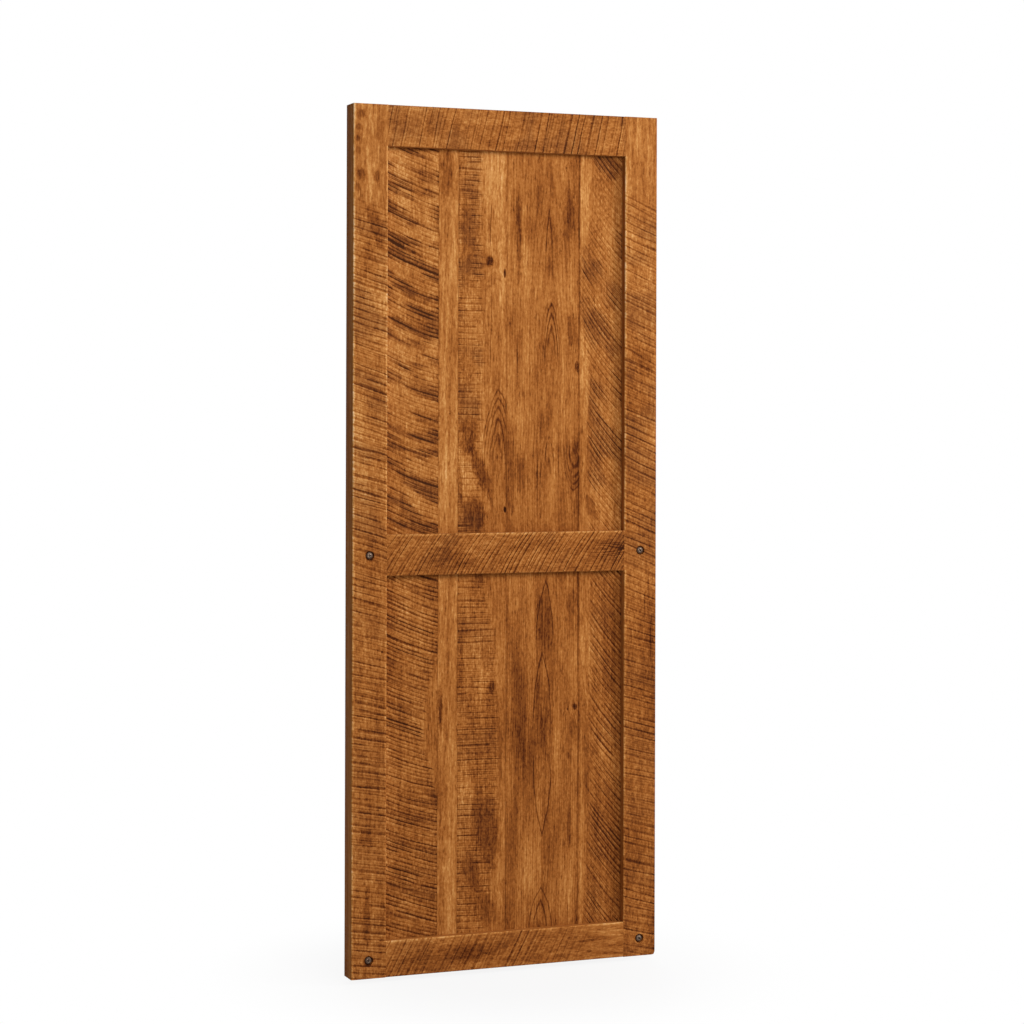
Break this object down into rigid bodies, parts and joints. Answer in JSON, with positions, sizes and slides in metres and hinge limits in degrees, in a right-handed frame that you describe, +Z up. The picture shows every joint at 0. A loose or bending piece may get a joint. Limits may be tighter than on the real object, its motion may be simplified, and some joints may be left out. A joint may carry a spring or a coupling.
{
  "type": "barn door",
  "caption": "Sliding barn door leaf: upright rough-sawn planks behind a stained face frame of stiles and rails, with socket bolts sunk in the stiles.",
  "frame": {"origin": "middle of the door's top edge, half-way through its thickness", "axes": "+Z up along the door's height, -Y out of the front with the face frame, +X to the right as seen from the front"},
  "size_m": [0.8128, 0.0572, 2.1336],
  "materials": {
    "frame_wood": "rough-sawn, honey-brown stain, satin",
    "plank_wood": "rough-sawn, honey-brown stain, satin",
    "bolt_steel": "dark bronze, satin, a little worn"
  },
  "bodies": {
    "root": {"left_stile": "frame_wood", "right_stile": "frame_wood", "top_rail": "frame_wood", "middle_rail": "frame_wood", "bottom_rail": "frame_wood", "plank_1": "plank_wood", "plank_2": "plank_wood", "plank_3": "plank_wood", "plank_4": "plank_wood", "plank_5": "plank_wood", "bolt_middle_left": "bolt_steel", "bolt_middle_right": "bolt_steel", "bolt_bottom_left": "bolt_steel", "bolt_bottom_right": "bolt_steel"}
  },
  "joints": []
}
